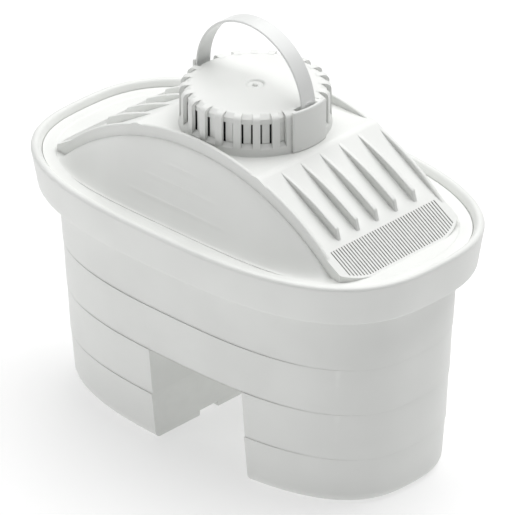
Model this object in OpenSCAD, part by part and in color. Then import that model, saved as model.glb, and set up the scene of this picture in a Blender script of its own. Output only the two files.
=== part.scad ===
// Oblong gravity water-filter cartridge on two legs. Millimetres, +Z up, X along its length.
// The origin is on the surface it stands on, below the middle of its rim.

/* [Flange] */
// Length over the upper edge of the flange
flange_len = 110; // [106:0.5:114]
// Width over the upper edge of the flange
flange_wid = 66; // [65:0.2:68]
// Height of the flange's upper edge above the feet
rim_z = 58.5; // [57:0.5:60]
// Height of the flange's skirt
skirt_h = 9.7; // [8.5:0.1:10.5]
// Depth of the recess inside the lip
lip_h = 1.55; // [1.4:0.05:1.8]

/* [Cup] */
// Length of the cup at its feet
foot_len = 94.8; // [93:0.2:96]
// Width of the cup at its feet
foot_wid = 47.4; // [46.6:0.2:49]
// Length of the cup at the foot of the flange
mouth_len = 99.9; // [98.5:0.1:101]
// Width of the cup at the foot of the flange
mouth_wid = 54; // [53:0.2:56]
// Height of each of the three lower tiers
tier_h = 11.55; // [11:0.05:11.9]
// Wall thickness of the cup
wall = 1.6; // [1.2:0.1:1.8]

/* [Legs] */
// Width of the channel between the legs
channel_w = 27.5; // [24:0.5:30]
// Distance of the channel's middle from the middle of the rim, towards the short leg
channel_shift = 5.55; // [4:0.05:7]
// Height of the foot rim round each outlet
foot_rim_h = 1.25; // [1:0.05:1.6]
// Width of each drain notch in the foot rim
notch_w = 5.8; // [4:0.2:8]

/* [Bridge] */
// Height of the flat top of the bridge above the rim
bridge_h = 14.6; // [14:0.1:15]
// Width over the side walls of the bridge
bridge_wid = 36.84; // [36.4:0.04:38]
// Length of the flat top of the bridge
bridge_top_len = 37; // [36:0.2:38]
// Length over the feet of both slopes
bridge_len = 91; // [90:0.2:91.6]
// Height of the arched side walls above the rim
side_wall_h = 17; // [16.5:0.1:17.4]
// Number of ribs between the side walls on each slope
rib_count = 5; // [3:2:7]
// Thickness of each rib
rib_t = 1.1; // [0.9:0.1:1.4]
// Number of slots in each comb
slot_count = 41; // [31:2:41]

/* [Inlet] */
// Radius of the cap's disc
disc_r = 14.35; // [14:0.05:14.7]
// Outer radius of the cage
cage_r = 16.5; // [16.3:0.1:16.8]
// Height of the disc above the bridge
inlet_h = 9.35; // [9.2:0.05:10]
// Width of each bar
bar_w = 1.65; // [1.4:0.05:1.9]

/* [Strap] */
// Width of the strap
strap_w = 4.2; // [3.5:0.1:4.6]
// Thickness of the strap
strap_t = 0.55; // [0.5:0.05:0.6]
// Height of the strap's arch above its pivot
strap_rise = 15.8; // [14:0.1:18]

/* [Hidden] */
$fn = 96;

LEFT = -1;
RIGHT = 1;
SEG = 72;            // points round each oval
OVAL_POWER = 2.75;   // roundness of every oval outline of the cup
TOE_POWER = 3.8;     // roundness of the outline round the domes
EPS = 0.01;
FAR = 200;           // reach of a cutter that runs right through

ivory = [0.93, 0.94, 0.92];
pearl = [0.88, 0.90, 0.88];
fleece = [0.96, 0.96, 0.93];
mesh_white = [0.82, 0.86, 0.88];
charcoal = [0.12, 0.12, 0.13];
amber = [0.80, 0.62, 0.32];

// Cup and flange
skirt_z = rim_z - skirt_h;
floor_z = rim_z - lip_h;              // upper face of the lid's plate
plate_t = 1.5;
seat_z = floor_z - plate_t;           // ledge that the lid rests on
web_t = 1.6;                          // flange web below the lid
skirt_t = 1.5;
skirt_draft = 1.2;                    // how far the skirt leans in at its foot
skirt_draft_side = 1.5;               // the same on the long sides
lip_t = 2.3;                          // from the flange's edge to the foot of the lip
ledge_end = 0.2;                      // half the overhang of a tier at the round ends
ledge_side = 0.1;                     // half the step of a tier on the long sides
ledge_drop = 0.06;
foot_round = [2.6, 1.4];              // rounding of the feet: round ends, long sides
channel_z = 2 * tier_h + 0.15;
leg_step = 0.05;                      // how much further in the walls of the legs stand
channel_x = [channel_shift - channel_w / 2, channel_shift + channel_w / 2];
notch_y = 6.7;                        // each notch's distance from the middle
foot_rim_t = 2.2;

// Bridge
plateau_z = rim_z + bridge_h;
bridge_t = 1.3;
side_wall_t = 1.1;
side_wall_r = 62;                     // radius of the side walls' arched edge
rib_pitch = (bridge_wid - side_wall_t) / (rib_count + 1);
rib_r = 66;                           // radius of the ribs' arched edge
rib_end = [33.1, 35.95];              // where the ribs break off: left, right
rib_end_lean = 0.85;
slope_run = (bridge_len - bridge_top_len) / 2;
slope_drop = bridge_h + lip_h;
slope_angle = atan2(slope_drop, slope_run);
toe_len = 92.6;                       // outline round the foot of the domes
toe_wid = 53;
dome_r = 58.6;                        // radius of the domes' upper edge
dome_drop = 2.6;                      // from the side walls' top to the domes' upper edge
dome_t = 1.4;
comb_near = 37.95;                    // where the comb starts, from the middle
comb_far = 45.3;
comb_wid = 33;
comb_slot_w = 0.4;
comb_edge = 0.5;                      // from the slots' ends to the toe outline

// Inlet
disc_z = plateau_z + inlet_h;
disc_t = 1.3;
shoulder_r = 15.5;
shoulder_drop = 0.95;
bar_step = 15;                        // angle from one bar to the next
cage_ring_h = 2.3;
cage_ring_t = 1;
stave_w = 1.7;
stave_t = 0.8;
plate_bar = 19;                       // angle of the bar on each side of the right end plate
plate_angle = [7, 17.5];              // half the angle that each end plate covers: left, right
end_plate_r = 17.2;
end_plate_top = disc_z + 0.45;
inlet_hole_r = 13.2;
end_plate_in_r = 16.4;
bar_last = 22;                        // bars run from the second step up to this one
ear_r = 16.2;
ear_angle = [7, 16];                  // half the angle of the shoulder's reach: left, right
dimple_r = 1.2;
dimple_depth = 0.5;
mesh_r = 13.6;                        // inside the ears of the cap

// Strap
pivot_z = disc_z - 0.7;
strap_foot_x = 16.1;                  // outer face of the strap at its pivot
strap_gap = 0.25;                     // room outside the strap's foot
strap_room = 0.3;                     // room round the strap's foot as it folds
strap_turn = 30;                      // how far the strap folds each way
pin_r = 0.6;
pin_play = 0.06;
pin_len = 0.9;

// Filling
fit_gap = 0.2;
mesh_t = 0.3;
felt_t = 1.8;
grille_t = 1.4;
grille_slot = 1.2;
grille_pitch = 2.6;
grille_edge = 2;
leg_floor_z = foot_rim_h + wall;
base_felt_z = leg_floor_z + 0.6;
resin_top = 22.2;
carbon_top = 50.2;

// Half length and half width of the cup at a height, without its ledges.
function cup_half(z) = [
    foot_len / 2 + (mouth_len - foot_len) / 2 * z / skirt_z,
    foot_wid / 2 + (mouth_wid - foot_wid) / 2 * z / skirt_z];
function oval_point(half, t, power) = [
    half[0] * sign(cos(t)) * pow(abs(cos(t)), 2 / power),
    half[1] * sign(sin(t)) * pow(abs(sin(t)), 2 / power)];
function oval(half, power) = [for (i = [0:SEG - 1]) oval_point(half, i * 360 / SEG, power)];
function oval_y(half, x, power) =
    half[1] * pow(max(0, 1 - pow(min(1, abs(x) / half[0]), power)), 1 / power);
function arc_z(top, radius, x) = top - radius + sqrt(radius * radius - x * x);
function shrink(half, d) = [half[0] - d, half[1] - d];

// A smooth skin through oval rings, each given as [height, half length, half width].
module loft(rings) {
    last = len(rings) - 1;
    points = [for (r = rings) for (p = oval([r[1], r[2]], OVAL_POWER)) [p[0], p[1], r[0]]];
    sides = [for (j = [0:last - 1]) for (i = [0:SEG - 1])
        let (k = (i + 1) % SEG)
        [j * SEG + i, (j + 1) * SEG + i, (j + 1) * SEG + k, j * SEG + k]];
    floor_face = [for (i = [0:SEG - 1]) i];
    roof_face = [for (i = [SEG - 1:-1:0]) last * SEG + i];
    polyhedron(points = points, faces = concat([floor_face], sides, [roof_face]));
}

function ring(z, half) = [z, half[0], half[1]];
function foot_rings() = [for (a = [0:30:90])
    ring(foot_round[0] * (1 - cos(a)), cup_half(0) - foot_round * (1 - sin(a)))];
function ledge_rings(z) = [
    ring(z - ledge_drop, cup_half(z) + [-ledge_end, ledge_side]),
    ring(z, cup_half(z) + [ledge_end, -ledge_side])];

module cup_outer() {
    loft(concat(foot_rings(), ledge_rings(tier_h), ledge_rings(2 * tier_h), ledge_rings(3 * tier_h),
        [ring(skirt_z, cup_half(skirt_z)), ring(seat_z - web_t / 2, cup_half(skirt_z))]));
}

// The space inside the cup between two heights, held back from its walls by a gap.
module cup_inner(z0, z1, gap = 0) {
    bend = z0 < skirt_z && z1 > skirt_z ? [skirt_z] : [];
    loft([for (z = concat([z0], bend, [z1]))
        ring(z, shrink(cup_half(min(z, skirt_z)), wall + ledge_end + gap))]);
}

// Everything on one side of the channel, held back from the channel's wall.
module leg_side(side, gap) {
    x0 = side == LEFT ? -FAR : channel_x[1] + gap;
    x1 = side == LEFT ? channel_x[0] - gap : FAR;
    translate([x0, -FAR, -FAR]) cube([x1 - x0, 2 * FAR, 2 * FAR]);
}

module leg_fill(side, z0, z1, gap = 0) {
    intersection() {
        cup_inner(z0, z1, gap);
        leg_side(side, wall + gap);
    }
}

// Outlet window of a leg: a rounded rectangle as large as the foot allows.
function leg_x(side) = side == LEFT
    ? [-foot_len / 2 + 7, channel_x[0] - 6]
    : [channel_x[1] + 5, foot_len / 2 - 7];
window_y = 13;
window_round = 3;

module window_shape(side, grow = 0) {
    x = leg_x(side);
    for (cx = [x[0] + window_round, x[1] - window_round]) for (cy = [-1, 1])
        translate([cx, cy * (window_y - window_round)]) circle(r = window_round + grow);
    translate([x[0] + window_round, -window_y - grow])
        square([x[1] - x[0] - 2 * window_round, 2 * window_y + 2 * grow]);
    translate([x[0] - grow, -window_y + window_round])
        square([x[1] - x[0] + 2 * grow, 2 * window_y - 2 * window_round]);
}

module foot_recess(side) {
    intersection() {
        loft([for (z = [-1, foot_rim_h]) ring(z, shrink(cup_half(0) - foot_round, foot_rim_t))]);
        leg_side(side, foot_rim_t);
    }
    wall_x = side == LEFT ? channel_x[0] : channel_x[1];
    for (y = [-notch_y, notch_y])
        translate([wall_x - foot_rim_t - 1, y - notch_w / 2, -1])
            cube([2 * foot_rim_t + 2, notch_w, foot_rim_h + 1]);
}

module flange() {
    top = [flange_len / 2, flange_wid / 2];
    foot = top - [skirt_draft, skirt_draft_side];
    edge = 0.5;
    difference() {
        loft([ring(skirt_z, foot), ring(rim_z - edge, top), ring(rim_z, shrink(top, edge))]);
        loft([ring(seat_z, shrink(top, lip_t)), ring(floor_z, shrink(top, lip_t)),
            ring(rim_z + EPS, shrink(top, lip_t - 0.7))]);
        loft([ring(skirt_z - 1, shrink(foot, skirt_t)), ring(seat_z - web_t, shrink(top, skirt_t))]);
    }
}

module housing() color(ivory) {
    difference() {
        union() {
            flange();
            cup_outer();
        }
        cup_inner(channel_z + wall, seat_z + 1);
        for (side = [LEFT, RIGHT]) {
            leg_fill(side, leg_floor_z, channel_z + wall + 1, leg_step);
            foot_recess(side);
            linear_extrude(height = leg_floor_z + 1) window_shape(side);
        }
        translate([channel_x[0], -FAR, -FAR]) cube([channel_w, 2 * FAR, FAR + channel_z]);
    }
}

// Lid
function bridge_profile(inset) =
    let (x_top = bridge_top_len / 2 - inset * tan(slope_angle / 2), z_top = plateau_z - inset,
         z_low = seat_z,
         x_low = x_top + (z_top - z_low) / tan(slope_angle))
    [[-x_low, z_low], [x_low, z_low], [x_top, z_top], [-x_top, z_top]];

// Stands a profile drawn in X and Z up, centred on a Y and as thick as asked.
module upright(thick, y = 0) {
    translate([0, y + thick / 2, 0]) rotate([90, 0, 0]) linear_extrude(height = thick) children();
}

// The fall across a dome, from 1 at its upper edge to 0 at its foot.
function dome_fall(s) = 0.5 * (1 + cos(180 * pow(s, 1.15)));

// One dome: its skin runs from the arched edge along the bridge out to the toe outline.
module dome(inset) {
    nx = 32;
    ny = 9;
    half = [toe_len / 2 - inset, toe_wid / 2 - inset];
    y_in = bridge_wid / 2 - side_wall_t / 2;
    x_end = half[0] * pow(1 - pow((y_in + 0.4) / half[1], TOE_POWER), 1 / TOE_POWER);
    base = inset > 0 ? seat_z - 1 : seat_z + EPS;
    top = rim_z + side_wall_h - dome_drop - inset;
    ground = inset > 0 ? seat_z - 0.5 : floor_z;
    cell = function (i, j) i * (ny + 1) + j;
    count = (nx + 1) * (ny + 1);
    grid = [for (i = [0:nx]) for (j = [0:ny])
        let (x = -x_end * cos(180 * i / nx), s = j / ny, y_out = oval_y(half, x, TOE_POWER),
             edge = max(ground, arc_z(top, dome_r, x)))
        [x, -(y_in + (y_out - y_in) * s), ground + (edge - ground) * dome_fall(s)]];
    low = [for (p = grid) [p[0], p[1], base]];
    skin = [for (i = [0:nx - 1]) for (j = [0:ny - 1])
        [cell(i, j), cell(i + 1, j), cell(i + 1, j + 1), cell(i, j + 1)]];
    under = [for (f = skin) [for (k = [3:-1:0]) count + f[k]]];
    back = [for (i = [0:nx - 1])
        [cell(i, 0), count + cell(i, 0), count + cell(i + 1, 0), cell(i + 1, 0)]];
    front = [for (i = [0:nx - 1])
        [cell(i, ny), cell(i + 1, ny), count + cell(i + 1, ny), count + cell(i, ny)]];
    ends = [for (j = [0:ny - 1]) for (e = [0, 1])
        let (i = e * nx, f = [cell(i, j), cell(i, j + 1), count + cell(i, j + 1), count + cell(i, j)])
        e == 0 ? f : [f[3], f[2], f[1], f[0]]];
    polyhedron(points = concat(grid, low), faces = concat(skin, under, back, front, ends), convexity = 4);
}

module side_wall() {
    steps = 24;
    x_end = 42.6;
    rise = [for (i = [0:steps]) let (x = -x_end + 2 * x_end * i / steps)
        [x, max(floor_z + 0.6, arc_z(rim_z + side_wall_h, side_wall_r, x) - pow(abs(x) / x_end, 6) * 1.2)]];
    polygon(concat([[x_end, seat_z + 0.5], [-x_end, seat_z + 0.5]], rise));
}

module rib(end) {
    x0 = bridge_top_len / 2 - 1;
    steps = 8;
    slope_z = function (x) plateau_z - (x - bridge_top_len / 2) * tan(slope_angle);
    edge = [for (i = [0:steps]) let (x = x0 + (end - x0) * i / steps)
        [x, arc_z(rim_z + side_wall_h, rib_r, x)]];
    toe = end + rib_end_lean;
    polygon(concat([[x0, slope_z(x0) - 1]], edge, [[toe, slope_z(toe) - 0.4]]));
}

module comb_slots() {
    pitch = comb_wid / slot_count;
    for (k = [0:slot_count - 1]) {
        y = (k - (slot_count - 1) / 2) * pitch;
        toe_x = toe_len / 2 * pow(1 - pow(abs(y) / (toe_wid / 2), TOE_POWER), 1 / TOE_POWER);
        reach = min(comb_far, toe_x - comb_edge);
        translate([comb_near, y - comb_slot_w / 2]) square([reach - comb_near, comb_slot_w]);
    }
}

module lid() color(ivory) {
    half = shrink([flange_len / 2, flange_wid / 2], lip_t + 0.1);
    difference() {
        union() {
            loft([ring(seat_z, half), ring(floor_z, half)]);
            intersection() {
                union() {
                    upright(bridge_wid) polygon(bridge_profile(0));
                    for (s = [-1, 1]) upright(side_wall_t, s * (bridge_wid - side_wall_t) / 2) side_wall();
                }
                linear_extrude(height = FAR) polygon(oval([toe_len / 2, toe_wid / 2], TOE_POWER));
            }
            for (s = [0, 1]) mirror([0, s, 0]) dome(0);
            for (side = [0, 1]) mirror([1 - side, 0, 0])
                for (k = [-(rib_count - 1) / 2:(rib_count - 1) / 2])
                    upright(rib_t, k * rib_pitch) rib(rib_end[side]);
        }
        upright(bridge_wid - 2 * bridge_t) polygon(bridge_profile(bridge_t));
        for (s = [0, 1]) mirror([0, s, 0]) dome(dome_t);
        for (end = [0, 1]) mirror([end, 0, 0])
            translate([0, 0, seat_z - 1]) linear_extrude(height = FAR) comb_slots();
        cylinder(r = inlet_hole_r, h = FAR);
    }
}

// Inlet
// A wedge seen from above, along +X from the axis.
module wedge(half_angle) {
    reach = FAR * tan(half_angle);
    linear_extrude(height = FAR) polygon([[0, 0], [FAR, -reach], [FAR, reach]]);
}

// Bars stand all the way round but for the two ends of the strap; staves fill the gaps between them.
bar_middle = 180 / bar_step;
bar_angles = concat([-plate_bar, plate_bar], [for (k = [2:bar_last]) if (k != bar_middle) k * bar_step]);
gap_angles = [for (k = [1:bar_last]) if (abs(k + 0.5 - bar_middle) > 1) (k + 0.5) * bar_step];

module bar() {
    low = plateau_z + cage_ring_h - 0.8;
    crown = disc_z + 0.05;
    profile = [[shoulder_r + 0.1, low], [cage_r, low], [cage_r, crown - 1.5], [cage_r - 0.3, crown - 0.7],
        [cage_r - 0.9, crown - 0.15], [cage_r - 1.6, crown], [disc_r + 0.1, crown],
        [disc_r + 0.1, disc_z - 0.03], [shoulder_r + 0.1, disc_z - shoulder_drop + 0.03]];
    rotate([90, 0, 0]) translate([0, 0, -bar_w / 2]) linear_extrude(height = bar_w) polygon(profile);
}

module end_plate(half_angle) {
    edge = 0.4;
    intersection() {
        difference() {
            rotate_extrude() polygon([[end_plate_in_r, plateau_z], [end_plate_r, plateau_z],
                [end_plate_r, end_plate_top - edge], [end_plate_r - edge, end_plate_top],
                [end_plate_in_r, end_plate_top]]);
            translate([end_plate_in_r - 1, 0, pivot_z]) rotate([0, 90, 0])
                cylinder(r = pin_r + pin_play, h = strap_foot_x + pin_len + 0.1 - end_plate_in_r + 1);
        }
        wedge(half_angle);
    }
}

module inlet_cage() color(ivory) {
    ring_top = plateau_z + cage_ring_h;
    rotate_extrude() polygon([[cage_r - cage_ring_t, plateau_z], [cage_r + 0.1, plateau_z],
        [cage_r + 0.1, ring_top - 0.5], [cage_r - 0.1, ring_top - 0.2],
        [cage_r - cage_ring_t + 0.2, ring_top + 0.3], [cage_r - cage_ring_t, ring_top + 0.3]]);
    for (a = bar_angles) rotate(a) bar();
    rotate(180) end_plate(plate_angle[0]);
    end_plate(plate_angle[1]);
}

// The space that the strap's foot needs as it folds, with a little room to spare.
module strap_sweep() {
    half = strap_w / 2 + strap_room;
    low = -strap_turn - 2;
    reach = 12;
    depth = strap_foot_x + strap_gap - disc_r - 0.1;
    steps = 16;
    foot = [for (i = [0:steps]) let (a = low + (-180 - 2 * low) * i / steps) half * [cos(a), sin(a)]];
    far = [for (s = [-1, 1]) [s * (half * cos(low) - reach * sin(low)), half * sin(low) + reach * cos(low)]];
    for (x = [disc_r + 0.1, -disc_r - 0.1 - depth]) translate([x, 0, pivot_z]) rotate([90, 0, 90])
        linear_extrude(height = depth) polygon(concat(foot, [far[0], [0, 2 * reach], far[1]]));
}

// The disc's shoulder reaches out between the end plates, and holds the strap's trough.
module ear(half_angle) {
    low = pivot_z - strap_w / 2 - strap_room - 0.6;
    root_r = disc_r - 0.6;
    intersection() {
        rotate_extrude() polygon([[root_r, low], [ear_r, low], [ear_r, disc_z - 0.2],
            [root_r, disc_z - 0.05]]);
        wedge(half_angle);
    }
}

module inlet_cap() color(ivory) {
    low = plateau_z + 0.1;
    in_r = shoulder_r - stave_t;
    skirt_low = disc_z - shoulder_drop - 1.2;
    difference() {
        union() {
            rotate_extrude() polygon([[0, disc_z - disc_t], [in_r, disc_z - disc_t],
                [in_r, skirt_low], [shoulder_r, skirt_low],
                [shoulder_r, disc_z - shoulder_drop], [disc_r, disc_z], [0, disc_z]]);
            rotate_extrude() polygon([[in_r, low], [shoulder_r - 0.4, low], [shoulder_r - 0.4, low + 1.5],
                [in_r, low + 1.5]]);
            for (a = gap_angles) rotate(a) translate([in_r, -stave_w / 2, low])
                cube([stave_t - 0.1, stave_w, skirt_low + 0.5 - low]);
            rotate(180) ear(ear_angle[0]);
            ear(ear_angle[1]);
        }
        strap_sweep();
        translate([0, 0, disc_z - dimple_depth])
            cylinder(r1 = dimple_r - dimple_depth, r2 = dimple_r, h = dimple_depth + EPS);
    }
}

// Strap
function arch_point(t, inset) = [(strap_foot_x - inset) * cos(t), (strap_rise - inset) * sin(t)];

module lift_strap() color(pearl) {
    steps = 40;
    angles = [for (i = [0:steps]) 180 * i / steps];
    band = concat([for (t = angles) arch_point(t, 0)],
        [for (i = [steps:-1:0]) arch_point(angles[i], strap_t)]);
    translate([0, 0, pivot_z]) {
        upright(strap_w) polygon(band);
        for (side = [-1, 1]) translate([side * (strap_foot_x - strap_t / 2), 0, 0]) rotate([0, 90, 0])
            cylinder(r = strap_w / 2, h = strap_t, center = true);
        for (side = [-1, 1]) translate([side * (strap_foot_x + pin_len / 2 - 0.05), 0, 0]) rotate([0, 90, 0])
            cylinder(r = pin_r, h = pin_len + 0.1, center = true);
    }
}

// Filling
module inlet_mesh() color(mesh_white) {
    difference() {
        translate([0, 0, plateau_z + 0.1]) cylinder(r = mesh_r, h = inlet_h - disc_t - 0.2);
        cylinder(r = mesh_r - mesh_t, h = FAR);
    }
}

module vent_mesh(side) {
    under = function (x, d) plateau_z - (x - bridge_top_len / 2) * tan(slope_angle) - d / cos(slope_angle);
    near = comb_near - 1.6;
    far = comb_far - 1.8;
    top = bridge_t + 0.1;
    flip = side == LEFT ? 1 : 0;
    mirror([flip, 0, 0]) upright(comb_wid) polygon([[near, under(near, top)], [far, under(far, top)],
        [far, under(far, top + mesh_t)], [near, under(near, top + mesh_t)]]);
}

module vent_mesh_left() color(mesh_white) vent_mesh(LEFT);
module vent_mesh_right() color(mesh_white) vent_mesh(RIGHT);

module top_felt() color(fleece) cup_inner(carbon_top + fit_gap, carbon_top + fit_gap + 1.5 * felt_t, fit_gap);
module carbon_bed() color(charcoal) cup_inner(channel_z + wall + fit_gap, carbon_top, fit_gap);

module leg_felt(side) leg_fill(side, resin_top + fit_gap / 2, resin_top + fit_gap / 2 + felt_t, fit_gap);
module leg_felt_left() color(fleece) leg_felt(LEFT);
module leg_felt_right() color(fleece) leg_felt(RIGHT);

module base_felt(side) leg_fill(side, base_felt_z, base_felt_z + felt_t, fit_gap);
module base_felt_left() color(fleece) base_felt(LEFT);
module base_felt_right() color(fleece) base_felt(RIGHT);

module resin_bed(side) leg_fill(side, base_felt_z + felt_t + fit_gap / 2, resin_top, fit_gap);
module resin_bed_left() color(amber) resin_bed(LEFT);
module resin_bed_right() color(amber) resin_bed(RIGHT);

module outlet_mesh(side) {
    translate([0, 0, leg_floor_z + 0.1]) linear_extrude(height = mesh_t) window_shape(side, 1.2);
}
module outlet_mesh_left() color(mesh_white) outlet_mesh(LEFT);
module outlet_mesh_right() color(mesh_white) outlet_mesh(RIGHT);

module outlet_grille(side) {
    x = leg_x(side);
    span = x[1] - x[0] - 2 * grille_edge;
    slot_len = window_y - 2 * grille_edge;
    count = floor((span + grille_pitch - grille_slot) / grille_pitch);
    first = (x[0] + x[1] - (count - 1) * grille_pitch) / 2;
    translate([0, 0, foot_rim_h + 0.1]) linear_extrude(height = grille_t) difference() {
        window_shape(side, -0.15);
        for (k = [0:count - 1]) for (s = [-1, 1])
            translate([first + k * grille_pitch - grille_slot / 2, s * window_y / 2 - slot_len / 2])
                square([grille_slot, slot_len]);
    }
}
module outlet_grille_left() color(pearl) outlet_grille(LEFT);
module outlet_grille_right() color(pearl) outlet_grille(RIGHT);

housing();
lid();
inlet_cage();
inlet_cap();
lift_strap();
inlet_mesh();
vent_mesh_left();
vent_mesh_right();
top_felt();
carbon_bed();
leg_felt_left();
leg_felt_right();
resin_bed_left();
resin_bed_right();
base_felt_left();
base_felt_right();
outlet_mesh_left();
outlet_mesh_right();
outlet_grille_left();
outlet_grille_right();
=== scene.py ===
"""Oblong gravity water-filter cartridge: the visible pieces, their finishes, the light and the camera.

Lengths are in millimetres until a mesh is made, and the angles among the sizes are in degrees.
Z is up and X runs along the cartridge.
"""
import math

import bmesh
import bpy
import numpy as np
from mathutils import Matrix, Vector


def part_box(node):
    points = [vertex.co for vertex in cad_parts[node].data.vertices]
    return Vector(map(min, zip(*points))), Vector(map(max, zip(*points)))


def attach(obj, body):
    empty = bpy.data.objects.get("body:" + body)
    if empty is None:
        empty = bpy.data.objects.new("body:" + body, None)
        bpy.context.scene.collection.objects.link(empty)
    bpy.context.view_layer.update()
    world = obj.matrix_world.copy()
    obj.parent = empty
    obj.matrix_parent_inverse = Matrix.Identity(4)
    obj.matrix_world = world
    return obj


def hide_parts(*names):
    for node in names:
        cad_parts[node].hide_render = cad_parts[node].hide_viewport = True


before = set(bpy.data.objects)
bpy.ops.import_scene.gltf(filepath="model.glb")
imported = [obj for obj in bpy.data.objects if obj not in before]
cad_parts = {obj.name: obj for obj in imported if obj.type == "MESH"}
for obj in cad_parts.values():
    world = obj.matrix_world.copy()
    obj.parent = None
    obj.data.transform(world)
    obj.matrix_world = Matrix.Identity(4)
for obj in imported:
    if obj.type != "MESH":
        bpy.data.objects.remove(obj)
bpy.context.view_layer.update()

MM = 0.001


def box_mm(node):
    low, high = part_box(node)
    return np.array(low) / MM, np.array(high) / MM


# ---------------------------------------------------------------- sizes
HOUSING_HIGH = box_mm("housing")[1]
CAGE_LOW, CAGE_HIGH = box_mm("inlet_cage")
GRILLE_BOXES = {-1: box_mm("outlet_grille_left"), 1: box_mm("outlet_grille_right")}

RIM_Z = HOUSING_HIGH[2]
RIM_HALF = HOUSING_HIGH[:2]
PLATEAU_Z = CAGE_LOW[2]
DISC_Z = box_mm("inlet_cap")[1][2]

SKIRT_H = 9.7
LIP_H = 1.55
LIP_T = 2.3
FOOT_HALF = np.array([94.8, 47.4]) / 2
MOUTH_HALF = np.array([99.9, 54.0]) / 2
TIER_H = 11.55
WALL = 1.6
CHANNEL_X = (-8.2, 19.3)
CHANNEL_Z = 2 * TIER_H
FOOT_RIM_H = 1.25
FOOT_RIM_T = 2.2
NOTCH_W = 5.8
NOTCH_Y = 6.7
WINDOW_FROM_END = 7.0
WINDOW_FROM_CHANNEL = {-1: 6.0, 1: 5.0}
WINDOW_HALF_W = 13.0
WINDOW_R = 3.0
FOOT_ROUND = np.array([2.6, 1.4])
SKIRT_LEAN = np.array([1.2, 1.5])
SKIRT_T = 1.5
LEDGE = np.array([0.2, -0.12])

SKIRT_Z = RIM_Z - SKIRT_H
FLOOR_Z = RIM_Z - LIP_H
SEAT_Z = FLOOR_Z - 1.5
WEB_T = 1.6

BRIDGE_H = PLATEAU_Z - RIM_Z
BRIDGE_WID = 36.84
BRIDGE_TOP = 37.0
BRIDGE_FOOT = 91.0
BRIDGE_T = 1.3
SLOPE = math.atan2(BRIDGE_H + LIP_H, (BRIDGE_FOOT - BRIDGE_TOP) / 2)
SIDE_WALL_H = 17.0
SIDE_WALL_T = 1.1
SIDE_WALL_R = 62.0
SIDE_WALL_END = 42.6
RIB_T = 1.1
RIB_COUNT = 5
RIB_PITCH = (BRIDGE_WID - SIDE_WALL_T) / (RIB_COUNT + 1)
RIB_R = 66.0
RIB_ENDS = (33.1, 35.95)
RIB_LEAN = 0.85
TOE_HALF = np.array([92.6, 53.0]) / 2
DOME_R = 58.6
DOME_DROP = 2.6
DOME_T = 1.4
COMB_NEAR = 37.95
COMB_FAR = 45.3
COMB_WID = 33.0
COMB_SLOTS = 41
COMB_SLOT_W = 0.4
COMB_EDGE = 0.5
COMB_ABOVE = 0.6
COMB_BELOW = 2.4
RIDGE_LIFT = 0.34
RIDGE_SPREAD = 0.32

DISC_R = 14.35
SHOULDER_R = 15.5
SHOULDER_DROP = 0.95
CAGE_R = 16.5
RING_H = 2.3
RING_T = 1.0
BAR_STEP = 15.0
BARS_A_SIDE = 10
BARS_FROM = (30.0, 195.0)
BAR_W = 1.65
STAVE_W = 1.7
STAVE_T = 0.8
STAVES_FROM = (22.5, 202.5)
END_STAVE = (169.5, 190.5)
PLATE_BAR = 19.0
PLATE_LEFT = 7.0
PLATE_RIGHT = 17.5
PLATE_R = 17.2
PLATE_IN_R = 16.4
PLATE_TOP = CAGE_HIGH[2]
INLET_R = 13.2
EAR_R = 16.2
EAR_LEFT = 7.0
EAR_RIGHT = 16.0

PIVOT_Z = DISC_Z - 0.7
STRAP_X = 16.1
STRAP_W = 4.2
STRAP_T = 0.55
STRAP_RISE = box_mm("lift_strap")[1][2] - PIVOT_Z
STRAP_TURN = 30.0
PIN_R = 0.6
PIN_LEN = 0.9
PIN_ROOM = 0.06

GRILLE_R = 2.85
GRILLE_GAP = 0.15
GRILLE_EDGE = 2.0
GRILLE_SLOT_W = 1.2
GRILLE_PITCH = 2.6

OVAL_POWER = 2.75
TOE_POWER = 3.8
ROUND_POINTS = 240
FAR = 150.0
MERGE = 0.002


# ---------------------------------------------------------------- outlines
def even_points(path, count):
    """Points spaced evenly round a closed path of 2-D points."""
    path = np.vstack([path, path[:1]])
    steps = np.hypot(*np.diff(path, axis=0).T)
    run = np.concatenate([[0], np.cumsum(steps)])
    where = np.linspace(0, run[-1], count + 1)[:-1]
    return np.stack([np.interp(where, run, path[:, k]) for k in (0, 1)], axis=1)


def oval(half, power=OVAL_POWER):
    """An outline between an ellipse and a box, with evenly spaced points."""
    turn = np.linspace(0, 2 * math.pi, 12 * ROUND_POINTS, endpoint=False)
    c, s = np.cos(turn), np.sin(turn)
    x = half[0] * np.sign(c) * np.abs(c) ** (2 / power)
    y = half[1] * np.sign(s) * np.abs(s) ** (2 / power)
    return even_points(np.stack([x, y], axis=1), ROUND_POINTS)


def toe_reach(along, across, offset):
    """How far the toe's outline reaches along one axis, at an offset on the other."""
    return along * max(0.0, 1 - abs(offset / across) ** TOE_POWER) ** (1 / TOE_POWER)


def circle(radius, count):
    a = np.linspace(0, 2 * math.pi, count, endpoint=False)
    return radius * np.stack([np.cos(a), np.sin(a)], axis=1)


def rounded_box(low, high, radius, steps=6):
    corners = [(high[0], high[1], 0), (low[0], high[1], 90),
               (low[0], low[1], 180), (high[0], low[1], 270)]
    points = []
    for x, y, start in corners:
        cx = x - math.copysign(radius, x - (low[0] + high[0]) / 2)
        cy = y - math.copysign(radius, y - (low[1] + high[1]) / 2)
        for a in np.radians(np.linspace(start, start + 90, steps)):
            points.append((cx + radius * math.cos(a), cy + radius * math.sin(a)))
    return np.array(points)


def arc_z(top, radius, x):
    """The height at X of an arch with its top over the middle."""
    return top - radius + np.sqrt(radius * radius - np.asarray(x, float) ** 2)


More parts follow.
